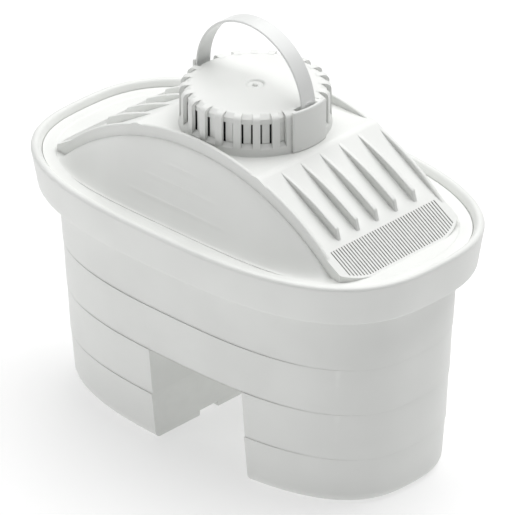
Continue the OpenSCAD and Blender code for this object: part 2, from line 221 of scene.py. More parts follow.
def cup_half(z):
    """Half the cup's length and width at a height."""
    return FOOT_HALF + (MOUTH_HALF - FOOT_HALF) * (z / SKIRT_Z)


def cup_inside(z):
    """Half the length and width of the room inside the wall, clear of the ledges."""
    return cup_half(z) - WALL - LEDGE[0]


# ---------------------------------------------------------------- meshes
def new_piece(name, points, faces):
    """A mesh object from points in millimetres."""
    mesh = bpy.data.meshes.new(name)
    mesh.from_pydata([tuple(p) for p in np.asarray(points, float) * MM], [], [tuple(f) for f in faces])
    mesh.validate()
    piece = bpy.data.objects.new(name, mesh)
    bpy.context.scene.collection.objects.link(piece)
    return piece


def ring_faces(rings, count, closed=False):
    """Faces between neighbouring rings of points; closed joins the last ring to the first."""
    faces = []
    for j in range(rings if closed else rings - 1):
        n = (j + 1) % rings
        for i in range(count):
            k = (i + 1) % count
            faces.append((j * count + i, j * count + k, n * count + k, n * count + i))
    return faces


def stack(name, rings):
    """A closed solid through rings of equal point counts; the first and the last ring are filled in."""
    count = len(rings[0])
    last = (len(rings) - 1) * count
    ends = [tuple(range(count - 1, -1, -1)), tuple(range(last, last + count))]
    return outward(new_piece(name, np.vstack(rings), ring_faces(len(rings), count) + ends))


def at_height(outline, z):
    return np.column_stack([outline, np.full(len(outline), z)])


def lofted(name, rings):
    """A solid through ovals given as (z, half length, half width)."""
    return stack(name, [at_height(oval((half_x, half_y)), z) for z, half_x, half_y in rings])


def block(name, low, high):
    corners = np.array([(low[0], low[1]), (high[0], low[1]), (high[0], high[1]), (low[0], high[1])])
    return stack(name, [at_height(corners, z) for z in (low[2], high[2])])


def spun(profile, angles):
    """A profile of (radius, z) set at each angle about Z."""
    profile = np.asarray(profile, float)
    return [np.column_stack([profile[:, 0] * math.cos(a), profile[:, 0] * math.sin(a), profile[:, 1]])
            for a in angles]


def turned(name, profile, steps=192, start=0.0, end=360.0):
    """A profile of (radius, z) turned about Z; a part turn is closed at both ends."""
    whole = end - start >= 360
    rings = spun(profile, np.radians(np.linspace(start, end, steps, endpoint=not whole)))
    if not whole:
        return stack(name, rings)
    return outward(new_piece(name, np.vstack(rings), ring_faces(steps, len(profile), closed=True)))


def outward(piece):
    """Merges doubled points and turns every face outwards."""
    bm = bmesh.new()
    bm.from_mesh(piece.data)
    bmesh.ops.remove_doubles(bm, verts=bm.verts, dist=MERGE * MM)
    bmesh.ops.dissolve_degenerate(bm, edges=bm.edges, dist=MERGE * MM)
    bmesh.ops.recalc_face_normals(bm, faces=bm.faces)
    bm.to_mesh(piece.data)
    bm.free()
    return piece


def prism(name, profile, thick, y=0.0):
    """A profile drawn in X and Z, stood up and centred on a Y."""
    profile = np.asarray(profile, float)
    sides = [np.column_stack([profile[:, 0], np.full(len(profile), v), profile[:, 1]])
             for v in (y - thick / 2, y + thick / 2)]
    return stack(name, sides)


def flip(piece, axis):
    """Mirrors a piece across X or Y."""
    piece.data.transform(Matrix.Scale(-1, 4, Vector((1, 0, 0)) if axis == "X" else Vector((0, 1, 0))))
    return outward(piece)


def flip_copy(piece, axis, name):
    """A mirrored copy, with the piece left where it is."""
    copy = bpy.data.objects.new(name, piece.data.copy())
    bpy.context.scene.collection.objects.link(copy)
    return flip(copy, axis)


def final_mesh(piece):
    """Replaces a piece's mesh by what its modifiers make of it."""
    bpy.context.view_layer.update()
    seen = piece.evaluated_get(bpy.context.evaluated_depsgraph_get())
    made = bpy.data.meshes.new_from_object(seen)
    piece.modifiers.clear()
    old = piece.data
    piece.data = made
    made.name = piece.name
    if old.users == 0:
        bpy.data.meshes.remove(old)
    return piece


def combine(piece, others, operation):
    """Adds, takes away or intersects each of the others, which are used up."""
    for other in others:
        change = piece.modifiers.new("combine", "BOOLEAN")
        change.operation = operation
        change.solver = "MANIFOLD"
        change.object = other
        final_mesh(piece)
        bpy.data.objects.remove(other)
    return piece


def soften(piece, width, steps=2, angle=30.0):
    """Rounds a piece's edges."""
    change = piece.modifiers.new("rounding", "BEVEL")
    change.width = width * MM
    change.segments = steps
    change.limit_method = "ANGLE"
    change.angle_limit = math.radians(angle)
    return final_mesh(piece)


def shade(piece, angle=34.0):
    """Smooth shading that keeps edges sharper than the angle, weighted by face size."""
    bm = bmesh.new()
    bm.from_mesh(piece.data)
    limit = math.radians(angle)
    for face in bm.faces:
        face.smooth = True
    for edge in bm.edges:
        edge.smooth = len(edge.link_faces) == 2 and edge.calc_face_angle(0) < limit
    bm.to_mesh(piece.data)
    bm.free()
    change = piece.modifiers.new("shading", "WEIGHTED_NORMAL")
    change.keep_sharp = True
    return final_mesh(piece)


# ---------------------------------------------------------------- repeated pieces
def maths(nodes, links, operation, a, b=None, c=None):
    """A math node whose inputs are numbers or other nodes' outputs."""
    made = nodes.new("ShaderNodeMath")
    made.operation = operation
    for slot, value in enumerate((a, b, c)):
        if value is None:
            continue
        if isinstance(value, (int, float)):
            made.inputs[slot].default_value = value
        else:
            links.new(value, made.inputs[slot])
    return made.outputs[0]


def repeat_tree(name, round_the_axis):
    """Geometry Nodes that set copies of a piece in a ring about Z or in a row."""
    tree = bpy.data.node_groups.new(name, "GeometryNodeTree")
    spacing = [("Step", "Vector")]
    if round_the_axis:
        spacing = [("First angle", "Float"), ("Angle step", "Float")]
    for label, kind in [("Piece", "Geometry"), ("Count", "Int"), *spacing, ("Finish", "Material")]:
        tree.interface.new_socket(label, in_out="INPUT", socket_type="NodeSocket" + kind)
    tree.interface.new_socket("Pieces", in_out="OUTPUT", socket_type="NodeSocketGeometry")
    nodes, links = tree.nodes, tree.links
    given = nodes.new("NodeGroupInput")
    result = nodes.new("NodeGroupOutput")
    points = nodes.new("GeometryNodePoints")
    copies = nodes.new("GeometryNodeInstanceOnPoints")
    real = nodes.new("GeometryNodeRealizeInstances")
    finish = nodes.new("GeometryNodeSetMaterial")
    index = nodes.new("GeometryNodeInputIndex")
    links.new(given.outputs["Count"], points.inputs["Count"])
    links.new(points.outputs[0], copies.inputs["Points"])
    links.new(given.outputs["Piece"], copies.inputs["Instance"])
    if round_the_axis:
        angle = maths(nodes, links, "MULTIPLY_ADD", index.outputs[0],
                      given.outputs["Angle step"], given.outputs["First angle"])
        turn = nodes.new("ShaderNodeCombineXYZ")
        links.new(angle, turn.inputs["Z"])
        links.new(turn.outputs[0], copies.inputs["Rotation"])
    else:
        last = maths(nodes, links, "SUBTRACT", given.outputs["Count"], 1)
        from_middle = maths(nodes, links, "MULTIPLY_ADD", last, -0.5, index.outputs[0])
        offset = nodes.new("ShaderNodeVectorMath")
        offset.operation = "SCALE"
        links.new(given.outputs["Step"], offset.inputs[0])
        links.new(from_middle, offset.inputs["Scale"])
        links.new(offset.outputs[0], points.inputs["Position"])
    links.new(copies.outputs[0], real.inputs[0])
    links.new(real.outputs[0], finish.inputs["Geometry"])
    links.new(given.outputs["Finish"], finish.inputs["Material"])
    links.new(finish.outputs[0], result.inputs[0])
    return tree


def repeated(piece, tree, finish, **values):
    """Runs a repeat tree on a piece and keeps the result as its mesh."""
    change = piece.modifiers.new("repeat", "NODES")
    change.node_group = tree
    for socket in tree.interface.items_tree:
        if socket.in_out == "INPUT" and socket.name in values:
            change[socket.identifier] = values[socket.name]
        elif socket.in_out == "INPUT" and socket.name == "Finish":
            change[socket.identifier] = finish
    return final_mesh(piece)


def in_ring(piece, finish, count, first, step):
    """Copies about Z; the angles are in degrees."""
    return repeated(piece, RING_TREE, finish, **{
        "Count": count, "First angle": math.radians(first), "Angle step": math.radians(step)})


def in_row(piece, finish, count, step):
    """Copies in a row centred on the piece."""
    return repeated(piece, ROW_TREE, finish, **{"Count": count, "Step": [v * MM for v in step]})


RING_TREE = repeat_tree("ring of pieces", True)
ROW_TREE = repeat_tree("row of pieces", False)


# ---------------------------------------------------------------- shader groups
def shader_group(name, inputs, outputs):
    group = bpy.data.node_groups.new(name, "ShaderNodeTree")
    for label, kind, value in inputs:
        socket = group.interface.new_socket(label, in_out="INPUT", socket_type=kind)
        socket.default_value = value
    for label, kind in outputs:
        group.interface.new_socket(label, in_out="OUTPUT", socket_type=kind)
    return group, group.nodes.new("NodeGroupInput"), group.nodes.new("NodeGroupOutput")


def noise(nodes, links, where, scale, detail=2.0, rough=0.5):
    made = nodes.new("ShaderNodeTexNoise")
    made.inputs["Scale"].default_value = scale
    made.inputs["Detail"].default_value = detail
    made.inputs["Roughness"].default_value = rough
    links.new(where, made.inputs["Vector"])
    return made


def remap(nodes, links, value, low, high, to_low=0.0, to_high=1.0):
    made = nodes.new("ShaderNodeMapRange")
    made.interpolation_type = "SMOOTHSTEP"
    links.new(value, made.inputs["Value"])
    limits = {"From Min": low, "From Max": high, "To Min": to_low, "To Max": to_high}
    for label, number in limits.items():
        made.inputs[label].default_value = number
    return made.outputs["Result"]


def make_moulded_skin():
    """The skin of a moulded part: eroded grain, slow tone drift and faint flow lines."""
    group, given, result = shader_group(
        "moulded skin",
        [("Grain size", "NodeSocketFloat", 0.35), ("Drift size", "NodeSocketFloat", 18.0),
         ("Grain depth", "NodeSocketFloat", 1.0)],
        [("Height", "NodeSocketFloat"), ("Tone", "NodeSocketFloat"), ("Gloss", "NodeSocketFloat")])
    nodes, links = group.nodes, group.links
    where = nodes.new("ShaderNodeTexCoord").outputs["Object"]
    fine = noise(nodes, links, where, 1.0, 3.0, 0.6)
    links.new(maths(nodes, links, "DIVIDE", 1 / MM, given.outputs["Grain size"]), fine.inputs["Scale"])
    drift = noise(nodes, links, where, 1.0, 2.0, 0.45)
    links.new(maths(nodes, links, "DIVIDE", 1 / MM, given.outputs["Drift size"]), drift.inputs["Scale"])
    flow = nodes.new("ShaderNodeMapping")
    flow.inputs["Scale"].default_value = (60.0, 60.0, 420.0)
    links.new(where, flow.inputs["Vector"])
    lines = noise(nodes, links, flow.outputs[0], 1.0, 1.0, 0.4)
    grain = maths(nodes, links, "MULTIPLY", fine.outputs["Fac"], given.outputs["Grain depth"])
    height = maths(nodes, links, "MULTIPLY_ADD", lines.outputs["Fac"], 0.35, grain)
    links.new(height, result.inputs["Height"])
    links.new(drift.outputs["Fac"], result.inputs["Tone"])
    mixed = maths(nodes, links, "MULTIPLY_ADD", fine.outputs["Fac"], 0.4, drift.outputs["Fac"])
    links.new(mixed, result.inputs["Gloss"])
    return group


def make_painted_corner_shade():
    """Painted shade: a mask that darkens corners and creases where ambient occlusion finds the piece
    hiding itself, broken into patches by noise.
    """
    group, given, result = shader_group(
        "painted corner shade",
        [("Reach", "NodeSocketFloat", 1.2), ("Amount", "NodeSocketFloat", 0.5)],
        [("Mask", "NodeSocketFloat")])
    nodes, links = group.nodes, group.links
    # Painted shade: ambient occlusion of the piece on itself picks out its corners and creases for
    # darkening.
    corner = nodes.new("ShaderNodeAmbientOcclusion")
    corner.samples = 4
    corner.only_local = True
    links.new(maths(nodes, links, "MULTIPLY", given.outputs["Reach"], MM), corner.inputs["Distance"])
    where = nodes.new("ShaderNodeTexCoord").outputs["Object"]
    patch = noise(nodes, links, where, 380.0, 3.0, 0.6)
    hidden = remap(nodes, links, corner.outputs["AO"], 1.0, 0.35)
    patchy = remap(nodes, links, patch.outputs["Fac"], 0.3, 0.7, 0.4, 1.0)
    links.new(maths(nodes, links, "MULTIPLY",
                    maths(nodes, links, "MULTIPLY", hidden, patchy), given.outputs["Amount"]),
              result.inputs["Mask"])
    return group


def make_painted_edge_highlight():
    """Painted highlight: a mask that makes convex edges paler, broken into patches by noise."""
    group, given, result = shader_group(
        "painted edge highlight",
        [("Amount", "NodeSocketFloat", 0.5)],
        [("Mask", "NodeSocketFloat")])
    nodes, links = group.nodes, group.links
    # Painted highlight: Pointiness picks out convex edges, which are painted paler.
    bent = nodes.new("ShaderNodeNewGeometry").outputs["Pointiness"]
    where = nodes.new("ShaderNodeTexCoord").outputs["Object"]
    broken = noise(nodes, links, where, 260.0, 4.0, 0.65)
    edge = remap(nodes, links, bent, 0.52, 0.6)
    patchy = remap(nodes, links, broken.outputs["Fac"], 0.35, 0.65, 0.3, 1.0)
    links.new(maths(nodes, links, "MULTIPLY",
                    maths(nodes, links, "MULTIPLY", edge, patchy), given.outputs["Amount"]),
              result.inputs["Mask"])
    return group


MOULDED_SKIN = make_moulded_skin()
PAINTED_CORNER_SHADE = make_painted_corner_shade()
PAINTED_EDGE_HIGHLIGHT = make_painted_edge_highlight()
POLYPROPYLENE_IOR = 1.49
SLEEVE_R = 13.6


def blank_material(name):
    made = bpy.data.materials.new(name)
    made.use_nodes = True
    made.node_tree.nodes.clear()
    nodes, links = made.node_tree.nodes, made.node_tree.links
    shader = nodes.new("ShaderNodeBsdfPrincipled")
    out = nodes.new("ShaderNodeOutputMaterial")
    links.new(shader.outputs[0], out.inputs["Surface"])
    return made, nodes, links, shader


def use_group(nodes, group, **values):
    made = nodes.new("ShaderNodeGroup")
    made.node_tree = group
    for label, value in values.items():
        made.inputs[label.replace("_", " ")].default_value = value
    return made


def blend_colours(nodes, links, amount, first, second):
    made = nodes.new("ShaderNodeMix")
    made.data_type = "RGBA"
    links.new(amount, made.inputs["Factor"])
    colour_in = [s for s in made.inputs if s.type == "RGBA"]
    for socket, value in zip(colour_in, (first, second)):
        if isinstance(value, tuple):
            socket.default_value = (*value, 1.0)
        else:
            links.new(value, socket)
    return [s for s in made.outputs if s.type == "RGBA"][0]


def bumped(nodes, links, shader, height, strength, distance):
    made = nodes.new("ShaderNodeBump")
    made.inputs["Strength"].default_value = strength
    made.inputs["Distance"].default_value = distance * MM
    links.new(height, made.inputs["Height"])
    links.new(made.outputs[0], shader.inputs["Normal"])


def white_plastic(name, light, deep, rough=(0.38, 0.5), grain=0.35, depth=0.02, corner_shade=0.35, edge_highlight=0.5):
    """Moulded polypropylene: fine grain and tone drift, with painted shade in the corners and a painted
    highlight along the edges.
    """
    made, nodes, links, shader = blank_material(name)
    skin = use_group(nodes, MOULDED_SKIN, Grain_size=grain)
    edge_highlight_node = use_group(nodes, PAINTED_EDGE_HIGHLIGHT, Amount=edge_highlight)
    corner_shade_node = use_group(nodes, PAINTED_CORNER_SHADE, Amount=corner_shade)
    drift = remap(nodes, links, skin.outputs["Tone"], 0.3, 0.7)
    base = blend_colours(nodes, links, drift, deep, light)
    # pale is the painted highlight colour for the edges, dull the painted shade colour for the corners.
    pale, dull = tuple(min(1, v * 1.06) for v in light), tuple(v * 0.45 for v in deep)
    edge_highlighted = blend_colours(nodes, links, edge_highlight_node.outputs["Mask"], base, pale)
    final = blend_colours(nodes, links, corner_shade_node.outputs["Mask"], edge_highlighted, dull)
    links.new(final, shader.inputs["Base Color"])
    links.new(remap(nodes, links, skin.outputs["Gloss"], 0.4, 1.0, rough[0], rough[1]),
              shader.inputs["Roughness"])
    shader.inputs["IOR"].default_value = POLYPROPYLENE_IOR
    bumped(nodes, links, shader, skin.outputs["Height"], 0.6, depth)
    return made


def woven_mesh(name, thread, hole, pitch, round_axis=False):
    """Fine woven filter cloth: threads over and under, with painted shade in the gaps between them."""
    made, nodes, links, shader = blank_material(name)
    where = nodes.new("ShaderNodeTexCoord").outputs["Object"]
    split = nodes.new("ShaderNodeSeparateXYZ")
    links.new(where, split.inputs[0])
    if round_axis:
        turn = maths(nodes, links, "ARCTAN2", split.outputs["Y"], split.outputs["X"])
        across = maths(nodes, links, "MULTIPLY", turn, SLEEVE_R * MM)
        along = split.outputs["Z"]
    else:
        across, along = split.outputs["X"], split.outputs["Y"]
    wave = 2 * math.pi / (pitch * MM)
    a = maths(nodes, links, "SINE", maths(nodes, links, "MULTIPLY", across, wave))
    b = maths(nodes, links, "SINE", maths(nodes, links, "MULTIPLY", along, wave))
    top = maths(nodes, links, "MAXIMUM", maths(nodes, links, "ABSOLUTE", a),
                maths(nodes, links, "ABSOLUTE", b))
    # Painted shade: the gaps between threads take the dark hole colour.
    hole_shade_mask = remap(nodes, links, top, 0.75, 0.45)
    drift = noise(nodes, links, where, 120.0, 2.0)
    tint = blend_colours(nodes, links, remap(nodes, links, drift.outputs["Fac"], 0.3, 0.7),
                         thread, tuple(v * 0.85 for v in thread))
    links.new(blend_colours(nodes, links, hole_shade_mask, tint, hole), shader.inputs["Base Color"])
    shader.inputs["Roughness"].default_value = 0.6
    bumped(nodes, links, shader, top, 0.7, 0.08)
    return made


def fibre_felt(name, light, deep):
    """Needled filter fleece: matted fibres."""
    made, nodes, links, shader = blank_material(name)
    where = nodes.new("ShaderNodeTexCoord").outputs["Object"]
    bend = noise(nodes, links, where, 300.0, 2.0)
    shift = nodes.new("ShaderNodeVectorMath")
    shift.operation = "MULTIPLY_ADD"
    links.new(bend.outputs["Color"], shift.inputs[0])
    shift.inputs[1].default_value = (0.004, 0.004, 0.004)
    links.new(where, shift.inputs[2])
    stretch = nodes.new("ShaderNodeMapping")
    stretch.inputs["Scale"].default_value = (2600.0, 500.0, 1400.0)
    links.new(shift.outputs[0], stretch.inputs["Vector"])
    fibres = noise(nodes, links, stretch.outputs[0], 1.0, 5.0, 0.7)
    mask = remap(nodes, links, fibres.outputs["Fac"], 0.35, 0.65)
    links.new(blend_colours(nodes, links, mask, deep, light), shader.inputs["Base Color"])
    shader.inputs["Roughness"].default_value = 0.95
    bumped(nodes, links, shader, fibres.outputs["Fac"], 0.8, 0.25)
    return made


def grain_bed(name, light, deep, size, shine):
    """A bed of loose grains: one cell for each grain, tinted one by one, with painted shade in the gaps
    between grains.
    """
    made, nodes, links, shader = blank_material(name)
    where = nodes.new("ShaderNodeTexCoord").outputs["Object"]
    cells = nodes.new("ShaderNodeTexVoronoi")
    cells.inputs["Scale"].default_value = 1 / (size * MM)
    links.new(where, cells.inputs["Vector"])
    pick = nodes.new("ShaderNodeSeparateColor")
    links.new(cells.outputs["Color"], pick.inputs[0])
    tint = blend_colours(nodes, links, pick.outputs[0], deep, light)
    # Painted shade: the colour darkens towards the gaps between grains.
    gap = remap(nodes, links, cells.outputs["Distance"], 0.35, 0.75)
    links.new(blend_colours(nodes, links, gap, tint, tuple(v * 0.25 for v in deep)),
              shader.inputs["Base Color"])
    links.new(remap(nodes, links, pick.outputs[1], 0.0, 1.0, shine, shine + 0.3),
              shader.inputs["Roughness"])
    rounded = maths(nodes, links, "MULTIPLY", cells.outputs["Distance"], -1.0)
    bumped(nodes, links, shader, rounded, 1.0, 0.5)
    return made


SHELL = white_plastic("moulded shell white", (0.83, 0.84, 0.82), (0.79, 0.80, 0.78))
LID_WHITE = white_plastic("moulded lid white", (0.84, 0.85, 0.83), (0.80, 0.81, 0.79),
                          rough=(0.36, 0.48))
CAGE_WHITE = white_plastic("inlet cage white", (0.82, 0.83, 0.81), (0.78, 0.79, 0.77), corner_shade=0.55)
CAP_WHITE = white_plastic("inlet cap white", (0.84, 0.85, 0.83), (0.80, 0.81, 0.79), corner_shade=0.45)
STRAP_WHITE = white_plastic("strap white", (0.80, 0.81, 0.80), (0.75, 0.76, 0.75), rough=(0.3, 0.42),
                            grain=0.5, corner_shade=0.1)
GRILLE_WHITE = white_plastic("outlet grille white", (0.78, 0.79, 0.78), (0.72, 0.73, 0.72), corner_shade=0.6)
INLET_WEAVE = woven_mesh("inlet strainer weave", (0.05, 0.05, 0.055), (0.01, 0.01, 0.01), 0.35, True)
VENT_WEAVE = woven_mesh("vent strainer weave", (0.86, 0.87, 0.86), (0.6, 0.61, 0.61), 0.3)
OUTLET_WEAVE = woven_mesh("outlet strainer weave", (0.62, 0.65, 0.66), (0.08, 0.08, 0.08), 0.3)
FELT = fibre_felt("filter fleece", (0.86, 0.86, 0.82), (0.66, 0.66, 0.61))
CARBON = grain_bed("activated carbon grains", (0.06, 0.06, 0.065), (0.012, 0.012, 0.013), 0.8, 0.45)
RESIN = grain_bed("ion exchange beads", (0.78, 0.5, 0.16), (0.5, 0.27, 0.06), 0.6, 0.15)


def paint(piece, material):
    piece.data.materials.clear()
    piece.data.materials.append(material)
    return piece


# ---------------------------------------------------------------- housing
def ledge_rings(z):
    """The step between two tiers of the cup: an overhang at the ends, a ledge along the sides."""
    half = cup_half(z)
    low, high = half - LEDGE, half + LEDGE
    groove = np.array([0.16, 0.0])
    return [
        (z - 0.25, *low),
        (z - 0.12, *low),
        (z - 0.03, *(low - groove)),
        (z + 0.01, *(high - LEDGE * 0.4)),
        (z + 0.08, *high),
        (z + 0.2, *high),
    ]


def housing_rings():
    """The cup's skin from its feet up the outside, over the rim and down to the floor inside."""
    rings = [
        (FOOT_ROUND[0] * (1 - math.cos(a)), *(cup_half(0) - FOOT_ROUND * (1 - math.sin(a))))
        for a in np.radians(np.linspace(0, 90, 7))
    ]
    for tier in (1, 2, 3):
        rings += ledge_rings(tier * TIER_H)
    foot = RIM_HALF - SKIRT_LEAN
    web_z = SEAT_Z - WEB_T
    groove = cup_half(SKIRT_Z)
    skirt_in = foot - SKIRT_T
    rings += [
        (SKIRT_Z, *groove),
        (web_z - 0.5, *groove),
        (web_z - 0.15, *(groove + 0.12)),
        (web_z, *(groove + 0.3)),
        (web_z, *(RIM_HALF - SKIRT_T - 0.3)),
        (web_z - 0.15, *(RIM_HALF - SKIRT_T)),
        (SKIRT_Z + 0.4, *(skirt_in + 0.02)),
        (SKIRT_Z + 0.1, *(skirt_in + 0.12)),
        (SKIRT_Z, *(skirt_in + 0.4)),
        (SKIRT_Z, *(foot - 0.5)),
        (SKIRT_Z + 0.14, *(foot - 0.18)),
        (SKIRT_Z + 0.5, *(foot + 0.02)),
        (SKIRT_Z + 3.2, *(foot + (RIM_HALF - foot) * 0.34)),
        (SKIRT_Z + 6.2, *(foot + (RIM_HALF - foot) * 0.68)),
        (RIM_Z - 0.9, *(RIM_HALF - 0.01)),
        (RIM_Z - 0.5, *(RIM_HALF - 0.1)),
        (RIM_Z - 0.2, *(RIM_HALF - 0.32)),
        (RIM_Z - 0.04, *(RIM_HALF - 0.68)),
        (RIM_Z, *(RIM_HALF - 1.0)),
        (RIM_Z - 0.05, *(RIM_HALF - 1.3)),
        (RIM_Z - 0.25, *(RIM_HALF - 1.6)),
        (RIM_Z - 0.6, *(RIM_HALF - 1.85)),
        (FLOOR_Z + 0.3, *(RIM_HALF - 2.2)),
        (FLOOR_Z, *(RIM_HALF - LIP_T)),
        (SEAT_Z, *(RIM_HALF - LIP_T)),
        (SEAT_Z, *cup_inside(SKIRT_Z)),
        (SKIRT_Z, *cup_inside(SKIRT_Z)),
        (CHANNEL_Z + WALL, *cup_inside(CHANNEL_Z + WALL)),
    ]
    return rings


def leg_part(piece, side, gap):
    """The part of a piece on one side of the channel, held back from the channel's wall."""
    low, high = (-FAR, CHANNEL_X[0] - gap) if side < 0 else (CHANNEL_X[1] + gap, FAR)
    return combine(piece, [block("keep", (low, -FAR, -FAR), (high, FAR, FAR))], "INTERSECT")


def window_outline(side):
    """The outlet in the floor of one leg."""
    end = side * (FOOT_HALF[0] - WINDOW_FROM_END)
    inner = CHANNEL_X[0 if side < 0 else 1] + side * WINDOW_FROM_CHANNEL[side]
    low, high = sorted((end, inner))
    return rounded_box((low, -WINDOW_HALF_W), (high, WINDOW_HALF_W), WINDOW_R)


def make_housing():
    cup = lofted("cartridge_shell", housing_rings())
    channel = block("channel", (CHANNEL_X[0], -FAR, -5), (CHANNEL_X[1], FAR, CHANNEL_Z))
    cuts = [channel]
    for side in (-1, 1):
        heights = (FOOT_RIM_H + WALL, CHANNEL_Z + 2 * WALL)
        space = lofted("leg_space", [(z, *cup_inside(z)) for z in heights])
        cuts.append(leg_part(space, side, WALL))
        foot = cup_half(0) - FOOT_ROUND - FOOT_RIM_T
        recess = lofted("foot_recess", [(z, *foot) for z in (-3, FOOT_RIM_H)])
        cuts.append(leg_part(recess, side, FOOT_RIM_T))
        window = window_outline(side)
        cuts.append(stack("window", [at_height(window, z) for z in (0.4, FOOT_RIM_H + WALL + 0.7)]))
        wall_x = CHANNEL_X[0] if side < 0 else CHANNEL_X[1]
        for y in (-NOTCH_Y, NOTCH_Y):
            cuts.append(block("notch", (wall_x - FOOT_RIM_T - 1, y - NOTCH_W / 2, -3),
                              (wall_x + FOOT_RIM_T + 1, y + NOTCH_W / 2, FOOT_RIM_H)))
    combine(cup, cuts, "DIFFERENCE")
    return shade(cup, 32)


# ---------------------------------------------------------------- lid
def slope_z(x):
    """The height of the bridge's top at X."""
    return PLATEAU_Z - max(0.0, abs(x) - BRIDGE_TOP / 2) * math.tan(SLOPE)


def lid_plate():
    """The flat plate inside the lip, with a shallow step along its edge."""
    edge = RIM_HALF - LIP_T - 0.1
    rings = [
        (SEAT_Z + 0.02, *(edge - 0.2)),
        (SEAT_Z + 0.2, *edge),
        (FLOOR_Z - 0.12, *edge),
        (FLOOR_Z - 0.03, *(edge - 0.04)),
        (FLOOR_Z, *(edge - 0.13)),
        (FLOOR_Z, *(edge - 1.5)),
        (FLOOR_Z, *(edge - 2.45)),
        (FLOOR_Z - 0.03, *(edge - 2.6)),
        (FLOOR_Z - 0.15, *(edge - 2.78)),
        (FLOOR_Z - 0.18, *(edge - 3.0)),
    ]
    return lofted("lid_plate", rings)


def bridge_block(inset, name):
    """The bridge's plateau and slopes with a soft crease; an inset makes the room under them."""
    top_x = BRIDGE_TOP / 2 - inset * math.tan(SLOPE / 2)
    top_z = PLATEAU_Z - inset
    low_z = SEAT_Z - (1 if inset else -0.2)
    low_x = top_x + (top_z - low_z) / math.tan(SLOPE)
    crease = 0.8
    drop = crease * math.tan(SLOPE)
    bend = [(top_x + crease * t, top_z - drop * ((t + 1) / 2) ** 2) for t in np.linspace(1, -1, 7)]
    profile = [(-low_x, low_z), (low_x, low_z), *bend, *((-x, z) for x, z in reversed(bend))]
    return prism(name, profile, BRIDGE_WID - 2 * inset)


def side_wall(sign):
    """One upright wall between the bridge and a dome, worn down towards its ends."""
    x = np.linspace(-SIDE_WALL_END, SIDE_WALL_END, 73)
    fade = (np.abs(x) / SIDE_WALL_END) ** 6 * 1.2
    top = np.maximum(FLOOR_Z + 0.6, arc_z(RIM_Z + SIDE_WALL_H, SIDE_WALL_R, x) - fade)
    profile = [(SIDE_WALL_END, SEAT_Z + 0.5), (-SIDE_WALL_END, SEAT_Z + 0.5)] + list(zip(x, top))
    y = sign * (BRIDGE_WID - SIDE_WALL_T) / 2
    return soften(prism("side_wall", profile, SIDE_WALL_T, y), 0.42, 3)


def rib(end):
    """One rib down a slope, which breaks off at the end given."""
    x0 = BRIDGE_TOP / 2 - 1
    x = np.linspace(x0, end, 25)
    top = arc_z(RIM_Z + SIDE_WALL_H, RIB_R, x)
    profile = [(x0, slope_z(x0) - 1)] + list(zip(x, top))
    toe = end + RIB_LEAN
    profile.append((toe, slope_z(toe) - 0.4))
    return soften(prism("rib", profile, RIB_T), 0.3, 3)


def dome_fall(s):
    """How much of a dome's height is left, from 1 beside the bridge to 0 at the toe."""
    return 0.5 * (1 + np.cos(np.pi * np.power(s, 1.15)))


def dome(inset, name):
    """A dome's skin from its arched edge beside the bridge out to the toe outline, closed underneath."""
    half = TOE_HALF - inset
    y_in = BRIDGE_WID / 2 - SIDE_WALL_T / 2
    x_end = toe_reach(half[0], half[1], y_in + 0.4)
    top = RIM_Z + SIDE_WALL_H - DOME_DROP - inset
    ground = SEAT_Z - 0.5 if inset else FLOOR_Z - 0.05
    base = SEAT_Z - 1.0 if inset else SEAT_Z + 0.3
    columns, rows = 128, 84
    points = []
    for i in range(columns + 1):
        x = -x_end * math.cos(math.pi * i / columns)
        y_out = toe_reach(half[1], half[0], x)
        edge = max(ground, float(arc_z(top, DOME_R, x)))
        for j in range(rows + 1):
            s = j / rows
            y = -(y_in + (y_out - y_in) * s)
            z = ground + (edge - ground) * float(dome_fall(s))
            points.append((x, y, z + (flow_ridge(x, z) if not inset else 0.0)))
    faces = []
    for i in range(columns):
        for j in range(rows):
            a, b = i * (rows + 1) + j, (i + 1) * (rows + 1) + j
            faces.append((a, a + 1, b + 1, b))
    last = columns * (rows + 1)
    border = [i * (rows + 1) for i in range(columns + 1)] + [last + j for j in range(1, rows + 1)]
    border += [i * (rows + 1) + rows for i in range(columns - 1, -1, -1)] + list(range(rows - 1, 0, -1))
    count = len(points)
    points += [(points[v][0], points[v][1], base) for v in border]
    around = len(border)
    for k in range(around):
        n = (k + 1) % around
        faces.append((border[k], border[n], count + n, count + k))
    faces.append(tuple(count + k for k in range(around)))
    return outward(new_piece(name, points, faces))


# Middle, half length and height above the rim of each flow line.
RIDGES = [(-1.25, 5.6, 9.9), (-1.15, 11.3, 6.35), (-0.95, 14.9, 2.1)]


def flow_ridge(x, z):
    """How far the flow lines across the steep part of a dome stand up at a point."""
    lift = 0.0
    for middle, half, height in RIDGES:
        along = max(0.0, 1 - ((x - middle) / half) ** 2)
        away = (z - RIM_Z - height) / RIDGE_SPREAD
        lift += RIDGE_LIFT * math.sqrt(along) * math.exp(-away * away)
    return lift


def comb_cutters(finish):
    """The slots of both combs, kept inside the toe outline."""
    wide, narrow = COMB_SLOT_W * 0.46, COMB_SLOT_W * 0.15
    rings = []
    for x in (COMB_NEAR, COMB_FAR):
        high, low = slope_z(x) + COMB_ABOVE, slope_z(x) - COMB_BELOW
        rings.append(np.array([(x, -wide, high), (x, wide, high), (x, narrow, low), (x, -narrow, low)]))
    slots = in_row(stack("slot", rings), finish, COMB_SLOTS, (0, COMB_WID / COMB_SLOTS, 0))
    outline = oval(TOE_HALF - COMB_EDGE, TOE_POWER)
    limit = stack("comb_limit", [at_height(outline, z) for z in (SEAT_Z - 2, RIM_Z + 5)])
    right = combine(slots, [limit], "INTERSECT")
    left = flip_copy(right, "X", "slots_left")
    return [right, left]


